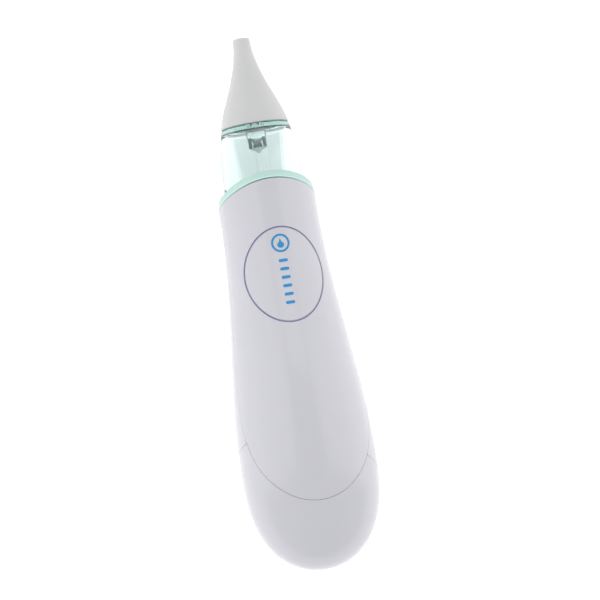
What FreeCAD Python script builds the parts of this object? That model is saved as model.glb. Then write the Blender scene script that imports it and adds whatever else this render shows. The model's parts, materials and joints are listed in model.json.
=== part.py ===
"""Battery nasal aspirator, lying on the flat land of its back.

The long axis runs along Y with the soft nose tip towards +Y, the push button faces +Z and the
flat land of the back lies on Z = 0.  The origin is under the middle of the overall length.

Most features are placed with two measures.  A station is the distance from the open end of
the nose tip along the long axis.  A rise is the height above the long axis, towards the
button.  Everything is in millimetres.
"""

import FreeCAD
import Part
import math
import os

V = FreeCAD.Vector
AXIS = V(0, 1, 0)
UP = V(0, 0, 1)

# --- overall sizes -------------------------------------------------------------------------
LENGTH = 192.0            # tip opening to bottom of the handle
AXIS_HEIGHT = 20.0        # long axis above the flat land of the back
WALL = 2.2                # moulded wall of the handle shells
FIT_GAP = 0.2             # clearance between parts that slide past each other
SEAM_GAP = 0.16           # shadow gap between the shells of the handle

# --- handle outline ------------------------------------------------------------------------
NECK_HALF_WIDTH = 17.6    # half width just under the collar
BELLY_HALF_WIDTH = 24.4   # half width at the widest place
BELLY_RISE = 23.4         # front surface above the axis at the belly
BACK_DROP = 20.7          # back surface under the axis, before the land is cut
COLLAR_FLARE = 0.3        # extra half width at the collar
FLARE_LENGTH = 15.0
SWELL_START = 65.0        # station where the sides start to swell
SWELL_END = 155.0
FRONT_SWELL_START = 70.0
FRONT_SWELL_END = 135.0
BACK_SWELL_END = 115.0
TAIL_START = 150.0        # station where the sides start to round off
FRONT_TAIL_START = 135.0
TAIL_POWER = 3.0
FRONT_TAIL_POWER = 2.4
SHELL_START = 46.0        # loft begins here and is trimmed by the collar's saddle

# --- collar --------------------------------------------------------------------------------
SADDLE_RADIUS = 65.0      # the handle's top edge is a saddle cut by this cylinder
SADDLE_STATION = -2.7     # its axis: station and rise
SADDLE_RISE = -15.5
COLLAR_THICKNESS = 2.9

# --- tongue seam and battery cap seam --------------------------------------------------------
TONGUE_EDGE = [(40.0, 1.2), (118.0, 5.4), (137.0, 7.7), (146.0, 10.6), (154.0, 14.1),
               (161.0, 17.6), (167.3, 20.4), (178.0, 24.8)]   # station, rise
CAP_SEAM_STATION = 154.7  # where the cap seam crosses the long axis
CAP_SEAM_SKEW = 0.305     # the seam sits lower on the right side
CAP_SEAM_RAKE = -0.45     # and climbs towards the front
ARM_THICKNESS = 1.2       # the cap's two arms beside the battery tray
ARM_HALF = 3.0
ARM_START = 150.0
ARM_END = 172.0

# --- nose tip ------------------------------------------------------------------------------
TIP_LENGTH = 32.0
TIP_BORE_RADIUS = 1.6
TIP_BORE_LENGTH = 7.0
TIP_OUTLINE = [(3.15, 0.9), (3.5, 5.0), (4.6, 10.0), (6.35, 15.6), (8.6, 21.2), (10.6, 26.2),
               (11.9, 30.4)]                                  # radius, station
TIP_BASE_RADIUS = 12.15
TIP_WALL = 1.35

# --- clear chamber -------------------------------------------------------------------------
NECK_RADIUS = 10.0        # the neck that the nose tip pushes on
NECK_WALL = 1.2
NECK_START = 27.3
NECK_GAP = 0.3            # from the neck's end to the shoulder inside the tip
TIP_FIT = 0.05            # radial clearance of the tip on the neck
DOME_TOP = TIP_LENGTH + FIT_GAP
DOME_RADIUS = 14.4
DOME_OUTLINE = [(DOME_RADIUS - 1.9, 33.0), (DOME_RADIUS - 1.05, 38.0), (DOME_RADIUS - 0.4, 44.0),
                (DOME_RADIUS, 52.0)]                           # radius, station
DOME_END = 62.5
DOME_WALL = 1.7
CEILING = 33.9            # underside of the dome's top
DRIP_RADIUS = 3.45
DRIP_BORE = 2.2
DRIP_END = 40.0
VALVE_TIP = 41.9
SLIT = 0.3
CUP_RIM = 35.2
CUP_RIM_RADIUS = 9.5
CUP_FOOT_RADIUS = 7.6
CUP_END = 59.2
CUP_WALL = 1.1

# --- deck, suction and seal ------------------------------------------------------------------
DECK_STATION = 62.7
DECK_THICKNESS = 1.8
SOCKET_WALL = 0.8
SPIGOT_FIT = 0.3          # spigot inside the dome
SPIGOT_RADIUS = DOME_RADIUS - DOME_WALL - SPIGOT_FIT   # carries the O-ring
SPIGOT_WALL = 2.4
SPIGOT_START = 57.0
SEAL_STATION = 59.6
SEAL_CORD = 0.8           # radius of the O-ring's section
SEAL_FIT = 0.05
POST_RADIUS = 3.0
PORT_RISE = -7.0
PORT_BORE = 1.3
PORT_RADIUS = 1.9
PORT_START = 61.5
PORT_END = 68.0
TUBE_WALL = 0.9

# --- button --------------------------------------------------------------------------------
BUTTON_STATION = 87.3
BUTTON_HALF_WIDTH = 14.1  # the oval hole in the front shell
BUTTON_HALF_LENGTH = 17.1
BUTTON_GAP = 0.5
BUTTON_TRAVEL = 1.2
BUTTON_WALL = 2.0
BUTTON_FLANGE = 1.2
FLANGE_FLOOR = 5.5        # the flange stops at this rise
SEAL_GAP = 0.12           # soft seal to shell
SEAL_DEPTH = 0.6
SEAL_RECESS = 0.35        # top of the seal under the handle's surface
SPRING_SPACING = 11.0
SPRING_RADIUS = 2.2
SPRING_WIRE = 0.6
SPRING_TAPER = 0.4        # the spring is this much narrower at its foot
SPRING_TURNS = 3.0
SPRING_TOP = 14.6
PRINT_PROUD = 0.06        # the print stands on the button's surface
PRINT_RING = 3.25         # radius of the printed ring
PRINT_STROKE = 0.7
DROP_RADIUS = 1.15        # round end of the printed droplet
DROP_HEIGHT = 1.7         # its point above the ring's middle
PRINT_STATION = 76.2
PRINT_BAR = (3.2, 1.1)
PRINT_BAR_PITCH = 3.0
PRINT_BARS = 6

# --- pump, all on one axis -------------------------------------------------------------------
PUMP_RISE = -3.6          # the pump's axis
PUMP_RADIUS = 11.0
PUMP_HEAD = 76.0          # stations of the stacked parts
VALVE_SHEET = 79.2
VALVE_PLATE = 79.6
DIAPHRAGM = 82.0
CRANKCASE = 82.8
CRANKCASE_FLOOR = 96.6
CRANKCASE_WALL = 1.0
CUP_COUNT = 3
CUP_CIRCLE = 6.3          # the diaphragm cups stand on this radius
PUMP_CUP_RADIUS = 3.3
PUMP_CUP_END = 87.2
PUMP_CUP_WALL = 0.6
STEM_RADIUS = 0.9
STEM_KNOB = 1.35
WOBBLE_ANGLE = 6.0        # the crank pin leans by this much
WOBBLE_STATION = 89.0     # where the crank pin crosses the pump's axis
YOKE_HUB = 2.6
YOKE_ARM = 1.4
YOKE_HOLE = 1.15
CRANK_PIN_RADIUS = 0.75
PIN_FIT = 0.05
CRANK_RADIUS = 4.0
CRANK_START = 91.3
CRANK_END = 95.9
PIN_FOOT = 92.9
PUMP_SCREW_CIRCLE = 9.3
PUMP_SCREW_RADIUS = 0.8
SCREW_HOLE_FIT = 0.1

# --- motor -----------------------------------------------------------------------------------
MOTOR_START = 98.0
MOTOR_END = 121.0
MOTOR_RADIUS = 10.2
MOTOR_FLAT = 7.7          # half thickness over the flats
CAN_WALL = 0.8
BOSS_RADIUS = 3.0
BOSS_LENGTH = 1.0
BEARING_RADIUS = 2.2
SHAFT_RADIUS = 1.0
SHAFT_FIT = 0.03
SHAFT_START = 93.3
SHAFT_END = 119.6
ARMATURE_RADIUS = 6.6
ARMATURE_START = 103.5
ARMATURE_END = 112.5
AIR_GAP = 0.4
COMMUTATOR_RADIUS = 2.4
COMMUTATOR_START = 114.6
COMMUTATOR_END = 117.4
END_CAP_START = 119.0
TERMINAL_OFFSET = 5.0
TERMINAL_END = 123.2

# --- inner chassis and board -----------------------------------------------------------------
CHASSIS_RISE = 7.5
CHASSIS_THICKNESS = 1.2
CHASSIS_START = 65.2
CHASSIS_END = 125.2
CHASSIS_WIDTH = 31.2
CHASSIS_WAIST = 18.0      # narrower under the button, clear of its skirt
RIB_STATIONS = (86.0, 108.0)
RIB_THICKNESS = 1.6
BOARD_RISE = 9.5
BOARD_THICKNESS = 1.0
BOARD_START = 73.0
BOARD_END = 116.0
BOARD_WIDTH = 12.4
SWITCH_SIZE = 6.0
SWITCH_HEIGHT = 2.4
PLUNGER_RADIUS = 1.5
PLUNGER_TOP = 14.5
PLUNGER_LENGTH = 2.3
CASE_SCREWS = [(8.5, 67.6), (13.2, 122.4)]   # half spacing, station
CASE_SCREW_RADIUS = 1.1
CASE_SCREW_HEAD = 2.1
CASE_SCREW_LENGTH = 9.0
BOSS_WALL = 1.3
FRONT_POSTS = [(12.6, 112.0), (11.0, 118.6)]
FRONT_POST_RADIUS = 1.5
VENT_STATIONS = (70.0, 72.6, 75.2)
VENT_SLOT = (9.0, 1.2)

# --- batteries -------------------------------------------------------------------------------
CELL_RADIUS = 7.1
CELL_BODY = 49.2
CELL_NUB = 1.0
CELL_NUB_RADIUS = 2.75
CELL_OFFSET = 7.6
CELL_RISE = -0.6
CELL_FIT = 0.2
TRAY_START = 125.6
TRAY_FLOOR = 0.8
TRAY_END = 171.0
TRAY_WALL = 1.0
CONTACT = 0.4             # thickness of the contact plates
CONTACT_SPRING = 2.6      # length of a loaded contact spring
CONTACT_COIL = (2.6, 4.2)  # radius at the cell and at the plate
CONTACT_WIRE = 0.6
CONTACT_TURNS = 2.0
CONTACT_HALF = 5.0
LEAD_RADIUS = 0.5

DECK_UNDERSIDE = DECK_STATION + DECK_THICKNESS
CHASSIS_TOP = CHASSIS_RISE + CHASSIS_THICKNESS
BOARD_TOP = BOARD_RISE + BOARD_THICKNESS
TRAY_FACE = TRAY_START + TRAY_FLOOR
BRIDGE = TRAY_FACE + CONTACT + CONTACT_SPRING + CELL_BODY + CELL_NUB


# ============================== placing and shaping helpers ==================================

def at(x, station, rise):
    """A point from its offset to the right, its station and its rise."""
    return V(x, LENGTH / 2 - station, AXIS_HEIGHT + rise)


def edges_through(points):
    return [Part.LineSegment(a, b).toShape() for a, b in zip(points, points[1:])]


def curve_through(points):
    curve = Part.BSplineCurve()
    curve.interpolate(points)
    return curve.toShape()


def profile_face(pieces):
    """A face from a chain of edges, closed by a straight edge where its ends are apart."""
    edges = [e for piece in pieces for e in piece]
    first = edges[0].valueAt(edges[0].FirstParameter)
    last = edges[-1].valueAt(edges[-1].LastParameter)
    if first.distanceToPoint(last) > 1e-6:
        edges.append(Part.LineSegment(last, first).toShape())
    return Part.Face(Part.Wire(edges))


def lathe(pieces, x=0.0, rise=0.0):
    """A turned solid.  pieces is a list of ("line" or "curve", [(radius, station), ...])."""
    chains = []
    for kind, outline in pieces:
        points = [at(x + radius, station, rise) for radius, station in outline]
        chains.append([curve_through(points)] if kind == "curve" else edges_through(points))
    return profile_face(chains).revolve(at(x, 0, rise), AXIS, 360)


def turned(outline, x=0.0, rise=0.0):
    """A turned solid with straight sides only; the outline is closed by itself."""
    return lathe([("line", outline)], x, rise)


def rod(radius, start, end, x=0.0, rise=0.0):
    """A round bar along the long axis from one station to another."""
    return Part.makeCylinder(radius, end - start, at(x, end, rise), AXIS)


def peg(radius, low, high, x, station):
    """A round bar along Z from one rise to another."""
    return Part.makeCylinder(radius, high - low, at(x, station, low), UP)


def block(width, start, end, low, high, x=0.0):
    """A box centred on x, from one station to another and one rise to another."""
    return Part.makeBox(width, end - start, high - low, at(x - width / 2, end, low))


def ring(outer, inner, start, end, x=0.0, rise=0.0):
    return rod(outer, start, end, x, rise).cut(rod(inner, start - 1, end + 1, x, rise))


def joined(first, *others):
    return first.fuse(list(others)).removeSplitter()


def merged(shell, extras):
    """Fuses pieces onto a curved shell without merging its faces."""
    return shell.fuse(extras)


def coil(narrow, wide, wire, turns, height, base, direction, spin=0):
    """A conical spring of round wire that widens from base; spin turns it about its own axis."""
    path = Part.makeHelix(height / turns, height, narrow,
                          math.degrees(math.atan2(wide - narrow, height)))
    section = Part.Wire(Part.makeCircle(wire / 2, V(narrow, 0, 0), V(0, 1, 0)))
    spring = Part.Wire(path).makePipeShell([section], True, True)
    stand = FreeCAD.Rotation(UP, direction) * FreeCAD.Rotation(UP, spin)
    spring.Placement = FreeCAD.Placement(base, stand)
    return spring


def lead(points, radius):
    """An insulated wire along straight runs joined by tangent arcs."""
    edges = []
    start = points[0]
    for before, corner, after in zip(points, points[1:], points[2:]):
        into = (corner - before).normalize()
        out = (after - corner).normalize()
        turn = math.acos(max(-1.0, min(1.0, into.dot(out))))
        reach = 0.45 * min((corner - before).Length, (after - corner).Length)
        begin = corner - into * reach
        end = corner + out * reach
        bulge = reach * (1 / math.cos(turn / 2) - 1) / math.tan(turn / 2)
        inward = (out - into).normalize()
        middle = corner + inward * bulge
        edges.append(Part.LineSegment(start, begin).toShape())
        edges.append(Part.Arc(begin, middle, end).toShape())
        start = end
    edges.append(Part.LineSegment(start, points[-1]).toShape())
    heading = (points[1] - points[0]).normalize()
    section = Part.Wire(Part.makeCircle(radius, points[0], heading))
    return Part.Wire(edges).makePipeShell([section], True, False)


# ==================================== handle surface =========================================

def smooth(x):
    x = max(0.0, min(1.0, x))
    return x * x * (3 - 2 * x)


def tail(station, start, inset, power):
    """1 along the handle, falling to 0 where the bottom closes."""
    x = max(0.0, (station - start) / (LENGTH - inset - start))
    return math.sqrt(max(0.0, 1 - x ** power))


def half_width(station, inset):
    swell = smooth((station - SWELL_START) / (SWELL_END - SWELL_START))
    flare = COLLAR_FLARE * max(0.0, (SWELL_START - station) / FLARE_LENGTH) ** 2
    width = NECK_HALF_WIDTH + (BELLY_HALF_WIDTH - NECK_HALF_WIDTH) * swell + flare
    return (width - inset) * tail(station, TAIL_START, inset, TAIL_POWER)


def front_rise(station, inset):
    swell = smooth((station - FRONT_SWELL_START) / (FRONT_SWELL_END - FRONT_SWELL_START))
    flare = COLLAR_FLARE * max(0.0, (SWELL_START - station) / FLARE_LENGTH) ** 2
    rise = NECK_HALF_WIDTH + (BELLY_RISE - NECK_HALF_WIDTH) * swell + flare
    return (rise - inset) * tail(station, FRONT_TAIL_START, inset, FRONT_TAIL_POWER)


def back_drop(station, inset):
    swell = smooth((station - SWELL_START) / (BACK_SWELL_END - SWELL_START))
    flare = COLLAR_FLARE * max(0.0, (SWELL_START - station) / FLARE_LENGTH) ** 2
    drop = NECK_HALF_WIDTH + (BACK_DROP - NECK_HALF_WIDTH) * swell + flare
    return (drop - inset) * tail(station, TAIL_START, inset, TAIL_POWER)


def section(station, inset, count=24):
    """One closed cross-section of the handle."""
    wide = half_width(station, inset)
    points = []
    for k in range(count):
        angle = 2 * math.pi * k / count
        depth = front_rise(station, inset) if math.cos(angle) > 0 else back_drop(station, inset)
        points.append(at(wide * math.sin(angle), station, depth * math.cos(angle)))
    outline = Part.BSplineCurve()
    outline.interpolate(Points=points, PeriodicFlag=True, Parameters=list(range(count + 1)))
    return Part.Wire(outline.toShape())


FORMS = {}


def handle_form(inset):
    """The handle as a solid, inset from its outer surface; each inset is made once."""
    if inset not in FORMS:
        FORMS[inset] = loft_form(inset)
    return FORMS[inset].copy()


def loft_form(inset):
    stations = [SHELL_START + k * (TAIL_START - SHELL_START) / 10 for k in range(11)]
    span = LENGTH - inset - TAIL_START
    for degrees in (16, 30, 43, 55, 66, 75, 82, 87, 89.2):
        stations.append(TAIL_START + span * math.sin(math.radians(degrees)) ** (2 / TAIL_POWER))
    return Part.makeLoft([section(s, inset) for s in stations], True, False)


def under_land(form):
    """The handle form with the flat land cut along its back."""
    return form.cut(block(80, 0, LENGTH + 10, -AXIS_HEIGHT - 20, -AXIS_HEIGHT))


def saddle(radius):
    return Part.makeCylinder(radius, 80, at(-40, SADDLE_STATION, SADDLE_RISE), V(1, 0, 0))


def tongue_side(shift):
    """Everything in front of the tongue-shaped seam, moved up by shift."""
    seam = curve_through([at(-40, s, r + shift) for s, r in TONGUE_EDGE])
    start, end = TONGUE_EDGE[0], TONGUE_EDGE[-1]
    outside = edges_through([at(-40, end[0], end[1] + shift), at(-40, end[0], 45),
                             at(-40, start[0], 45), at(-40, start[0], start[1] + shift)])
    return profile_face([[seam], outside]).extrude(V(80, 0, 0))


def below_cap_seam(shift):
    """Everything on the bottom side of the cap seam, moved by shift towards the bottom."""
    slab = Part.makeBox(140, 90, 140, V(-70, -90, -70))
    normal = V(CAP_SEAM_SKEW, 1, CAP_SEAM_RAKE).normalize()
    slab.Placement = FreeCAD.Placement(at(0, CAP_SEAM_STATION + shift, 0),
                                       FreeCAD.Rotation(AXIS, normal))
    return slab


def oval(grow, low, high):
    """An upright oval bar under the button; grow widens it all round."""
    bar = Part.Ellipse(at(0, BUTTON_STATION + BUTTON_HALF_LENGTH + grow, low),
                       at(BUTTON_HALF_WIDTH + grow, BUTTON_STATION, low),
                       at(0, BUTTON_STATION, low))
    return Part.Face(Part.Wire(bar.toShape())).extrude(V(0, 0, high - low))


# ===================================== nose tip and chamber ==================================

def nose_tip():
    skin = lathe([("line", [(TIP_BORE_RADIUS, TIP_LENGTH), (TIP_BORE_RADIUS, 0.3),
                            (TIP_BORE_RADIUS + 0.3, 0.0), (2.5, 0.0), (3.0, 0.3),
                            TIP_OUTLINE[0]]),
                  ("curve", TIP_OUTLINE),
                  ("line", [TIP_OUTLINE[-1], (TIP_BASE_RADIUS, TIP_LENGTH)])])
    socket = NECK_RADIUS + TIP_FIT
    shoulder = NECK_START - NECK_GAP
    throat = [(radius - TIP_WALL, station) for radius, station in TIP_OUTLINE[2:]
              if station < shoulder - 1]
    hollow = lathe([("line", [(0, shoulder), (0, TIP_BORE_LENGTH),
                              (TIP_BORE_RADIUS, TIP_BORE_LENGTH)]),
                    ("curve", [(TIP_BORE_RADIUS, TIP_BORE_LENGTH)] + throat
                     + [(NECK_RADIUS - NECK_WALL, shoulder)])])
    return skin.cut(hollow).cut(rod(socket, shoulder, TIP_LENGTH + 1))


def chamber_dome():
    """The clear dome with the neck for the tip and the drip tube under its ceiling."""
    neck_bore = NECK_RADIUS - NECK_WALL
    outside = lathe([("line", [(0, DOME_END), (0, NECK_START), (NECK_RADIUS - 0.3, NECK_START),
                               (NECK_RADIUS, NECK_START + 0.3),
                               (NECK_RADIUS, DOME_TOP), (DOME_OUTLINE[0][0] - 0.8, DOME_TOP),
                               DOME_OUTLINE[0]]),
                     ("curve", DOME_OUTLINE),
                     ("line", [DOME_OUTLINE[-1], (DOME_RADIUS, DOME_END - 0.4),
                               (DOME_RADIUS - 0.4, DOME_END), (0, DOME_END)])])
    inner = [(radius - DOME_WALL, station) for radius, station in DOME_OUTLINE[1:]]
    cavity = lathe([("line", [(0, DOME_END + 1), (0, CEILING), (inner[0][0] - 1.1, CEILING)]),
                    ("curve", [(inner[0][0] - 1.1, CEILING), (inner[0][0] - 0.3, CEILING + 1.0)]
                     + inner),
                    ("line", [inner[-1], (inner[-1][0], DOME_END + 1)])])
    solid = outside.cut(cavity)
    solid = solid.cut(rod(neck_bore, NECK_START - 1, CEILING - DOME_WALL))
    tube = turned([(0, CEILING - 0.5), (DRIP_RADIUS + 0.25, CEILING - 0.5),
                   (DRIP_RADIUS + 0.25, CEILING), (DRIP_RADIUS, DRIP_END - 0.5),
                   (DRIP_RADIUS - 0.5, DRIP_END), (0, DRIP_END)])
    return joined(solid, tube).cut(rod(DRIP_BORE, NECK_START - 1, DRIP_END + 1))


def drip_valve():
    """Soft slit valve plugged into the end of the drip tube."""
    plug = turned([(0, DRIP_END - 2.0), (DRIP_BORE, DRIP_END - 2.0), (DRIP_BORE, DRIP_END),
                   (DRIP_BORE + 0.5, DRIP_END), (DRIP_BORE + 0.5, DRIP_END + 0.5),
                   (1.3, DRIP_END + 0.8), (0.9, VALVE_TIP - 0.2), (0, VALVE_TIP)])
    return plug.cut(block(SLIT, DRIP_END - 3, VALVE_TIP + 1, -0.8, 0.8))


def collection_cup():
    lip = CUP_WALL / 2
    return turned([(0, CUP_END), (CUP_FOOT_RADIUS - 0.8, CUP_END), (CUP_FOOT_RADIUS, CUP_END - 0.8),
                   (CUP_RIM_RADIUS, CUP_RIM + lip), (CUP_RIM_RADIUS - 0.3, CUP_RIM),
                   (CUP_RIM_RADIUS - CUP_WALL + 0.3, CUP_RIM),
                   (CUP_RIM_RADIUS - CUP_WALL, CUP_RIM + lip),
                   (CUP_FOOT_RADIUS - CUP_WALL, CUP_END - 2 * CUP_WALL),
                   (CUP_FOOT_RADIUS - CUP_WALL - 0.8, CUP_END - CUP_WALL), (0, CUP_END - CUP_WALL)])


def top_deck():
    """Closes the handle: socket for the dome, post for the cup, suction port and spigot."""
    rim = NECK_HALF_WIDTH - WALL
    socket = ring(rim, rim - SOCKET_WALL, SHELL_START, DECK_STATION).cut(saddle(SADDLE_RADIUS))
    deck = rod(rim, DECK_STATION, DECK_UNDERSIDE)
    spigot = ring(SPIGOT_RADIUS, SPIGOT_RADIUS - SPIGOT_WALL, SPIGOT_START, DECK_STATION)
    post = rod(POST_RADIUS, CUP_END, DECK_STATION)
    port = rod(PORT_RADIUS, PORT_START, PORT_END, 0, PORT_RISE)
    solid = joined(deck, socket, spigot, post, port)
    solid = solid.cut(rod(PORT_BORE, PORT_START - 1, PORT_END + 1, 0, PORT_RISE))
    groove = ring(SPIGOT_RADIUS + 1, seal_centre() - SEAL_CORD, SEAL_STATION - SEAL_CORD,
                  SEAL_STATION + SEAL_CORD)
    return solid.cut(groove)


def seal_centre():
    return DOME_RADIUS - DOME_WALL - SEAL_FIT - SEAL_CORD


def chamber_seal():
    return Part.makeTorus(seal_centre(), SEAL_CORD, at(0, SEAL_STATION, 0), AXIS)


def collar_ring():
    """Mint band between two equal saddle cuts, flush with the handle."""
    band = handle_form(0).common(saddle(SADDLE_RADIUS))
    above = saddle(SADDLE_RADIUS)
    above.translate(AXIS * COLLAR_THICKNESS)
    return band.cut(above).cut(rod(DOME_RADIUS + FIT_GAP, SHELL_START - 1, DECK_STATION))


def suction_tube():
    return ring(PORT_RADIUS + TUBE_WALL, PORT_RADIUS, DECK_UNDERSIDE + 0.3, PUMP_HEAD - 0.3,
                0, PORT_RISE)


# ===================================== handle shells =========================================

def handle_wall():
    form = under_land(handle_form(0))
    return form.cut(handle_form(WALL)).cut(saddle(SADDLE_RADIUS))


def front_shell(wall, inside):
    shell = wall.common(tongue_side(SEAM_GAP / 2))
    posts = [peg(FRONT_POST_RADIUS, CHASSIS_TOP, BELLY_RISE, side * x, station).common(inside)
             for x, station in FRONT_POSTS for side in (-1, 1)]
    return merged(shell.cut(oval(0, 0, BELLY_RISE + 10)), posts)


def rear_shell(wall, inside):
    shell = wall.cut(tongue_side(-SEAM_GAP / 2)).cut(below_cap_seam(-SEAM_GAP / 2))
    extras = []
    for x, station in CASE_SCREWS:
        for side in (-1, 1):
            post = peg(CASE_SCREW_RADIUS + BOSS_WALL, -BACK_DROP, CHASSIS_RISE, side * x, station)
            extras.append(post.common(inside))
    for station in RIB_STATIONS:
        rib = block(2 * BELLY_HALF_WIDTH, station, station + RIB_THICKNESS, -BACK_DROP, -8.0)
        seat = PUMP_RADIUS if station < MOTOR_START else MOTOR_RADIUS
        extras.append(rib.common(inside).cut(rod(seat, station - 1, station + 3, 0, PUMP_RISE)))
    tray_rib = block(2 * BELLY_HALF_WIDTH, TRAY_START + 8, TRAY_START + 8 + RIB_THICKNESS,
                     -BACK_DROP, -4.0)
    extras.append(tray_rib.common(inside).cut(tray_block()))
    shell = merged(shell, extras)
    for x, station in CASE_SCREWS:
        for side in (-1, 1):
            shell = shell.cut(peg(CASE_SCREW_RADIUS, CHASSIS_TOP - CASE_SCREW_LENGTH,
                                  CHASSIS_TOP, side * x, station))
    width, slot = VENT_SLOT
    for station in VENT_STATIONS:
        shell = shell.cut(block(width, station, station + slot, -BACK_DROP - 1, -12.0))
    return shell


def battery_cap(wall):
    """Slides off the bottom; a pad backs the bridge and two arms run beside the battery tray."""
    cap = wall.cut(tongue_side(-SEAM_GAP / 2)).common(below_cap_seam(SEAM_GAP / 2))
    bottom = below_cap_seam(SEAM_GAP / 2).common(handle_form(WALL - 0.2))
    pad = block(2 * CONTACT_HALF + 2 * CELL_OFFSET + 1, BRIDGE + CONTACT, LENGTH,
                CELL_RISE - CONTACT_HALF - 0.5, CELL_RISE + CONTACT_HALF + 0.5)
    extras = [pad.common(bottom)]
    inner_face = CELL_OFFSET + CELL_RADIUS + CELL_FIT + TRAY_WALL + FIT_GAP
    for side in (-1, 1):
        arm = block(ARM_THICKNESS, ARM_START, ARM_END, CELL_RISE - ARM_HALF, CELL_RISE + ARM_HALF,
                    side * (inner_face + ARM_THICKNESS / 2))
        web = block(10.0, ARM_END - 10, ARM_END, CELL_RISE - 1, CELL_RISE + 1,
                    side * (inner_face + 5.0))
        extras += [arm, web.common(bottom)]
    return merged(cap, extras)


# ===================================== button ================================================

def button_print():
    """A ring with a droplet inside it, over a column of short bars."""
    low, high = 0, BELLY_RISE
    mark = peg(PRINT_RING, low, high, 0, PRINT_STATION)
    mark = mark.cut(peg(PRINT_RING - PRINT_STROKE, low - 1, high + 1, 0, PRINT_STATION))
    drop = peg(DROP_RADIUS, low, high, 0, PRINT_STATION + DROP_RADIUS / 2)
    apex = at(0, PRINT_STATION - DROP_HEIGHT, low)
    half = DROP_RADIUS - 0.15
    wing = [apex, at(-half, PRINT_STATION, low), at(half, PRINT_STATION, low), apex]
    drop = drop.fuse(Part.Face(Part.Wire(edges_through(wing))).extrude(V(0, 0, high - low)))
    pieces = [mark, drop]
    width, height = PRINT_BAR
    for k in range(PRINT_BARS):
        station = PRINT_STATION + PRINT_RING + 2.4 + k * PRINT_BAR_PITCH
        pieces.append(block(width, station, station + height, low, high))
    return Part.makeCompound([piece.common(handle_form(-PRINT_PROUD)).cut(handle_form(0))
                              for piece in pieces])


def button_layer(outer_inset, inner_inset, outer_grow, inner_grow=None):
    """A curved layer of the handle's form, between two ovals."""
    bar = oval(outer_grow, FLANGE_FLOOR, BELLY_RISE)
    if inner_grow is not None:
        bar = bar.cut(oval(inner_grow, FLANGE_FLOOR - 1, BELLY_RISE + 1))
    return bar.common(handle_form(outer_inset)).cut(handle_form(inner_inset))


def power_button():
    """Oval cap with a skirt, a hidden flange, two spring posts and a post over the switch."""
    flange_top = WALL + SEAL_GAP + SEAL_DEPTH
    flange_low = flange_top + BUTTON_FLANGE
    cap = oval(-BUTTON_GAP, FLANGE_FLOOR, BELLY_RISE).common(handle_form(0))
    pocket = oval(-BUTTON_GAP - BUTTON_FLANGE, FLANGE_FLOOR - 1, BELLY_RISE)
    cap = cap.cut(pocket.common(handle_form(BUTTON_WALL)))
    cap = cap.cut(handle_form(flange_low - 0.2))
    flange = button_layer(flange_top, flange_low, BUTTON_FLANGE, -BUTTON_GAP - BUTTON_FLANGE / 2)
    under = handle_form(BUTTON_WALL / 2)
    posts = [peg(SPRING_RADIUS + SPRING_WIRE, SPRING_TOP, BELLY_RISE, 0,
                 BUTTON_STATION + side * SPRING_SPACING).common(under) for side in (-1, 1)]
    posts.append(peg(PLUNGER_RADIUS + 0.5, PLUNGER_TOP + 0.02, BELLY_RISE, 0,
                     BUTTON_STATION).common(under))
    return merged(cap, [flange] + posts)


def button_seal():
    """Soft violet seal: it lines the gap round the button and lies on the flange."""
    foot_low = WALL + SEAL_GAP + SEAL_DEPTH
    upstand = button_layer(SEAL_RECESS, foot_low - SEAL_DEPTH / 2, -SEAL_GAP, -BUTTON_GAP)
    foot = button_layer(WALL + SEAL_GAP, foot_low, BUTTON_FLANGE, -BUTTON_GAP)
    return merged(foot, [upstand])


def button_springs():
    height = SPRING_TOP - BOARD_TOP - SPRING_WIRE
    return Part.makeCompound([
        coil(SPRING_RADIUS - SPRING_TAPER, SPRING_RADIUS, SPRING_WIRE, SPRING_TURNS, height,
             at(0, BUTTON_STATION + side * SPRING_SPACING, BOARD_TOP + SPRING_WIRE / 2), UP)
        for side in (-1, 1)])


def switch_body():
    body = Part.makeBox(SWITCH_SIZE, SWITCH_SIZE, SWITCH_HEIGHT,
                        at(-SWITCH_SIZE / 2, BUTTON_STATION + SWITCH_SIZE / 2, BOARD_TOP))
    well = peg(PLUNGER_RADIUS + PIN_FIT, PLUNGER_TOP - PLUNGER_LENGTH - BUTTON_TRAVEL - 0.15,
               PLUNGER_TOP, 0, BUTTON_STATION)
    return body.cut(well)


def switch_plunger():
    return peg(PLUNGER_RADIUS, PLUNGER_TOP - PLUNGER_LENGTH, PLUNGER_TOP, 0, BUTTON_STATION)


# ===================================== chassis and board =====================================

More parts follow.
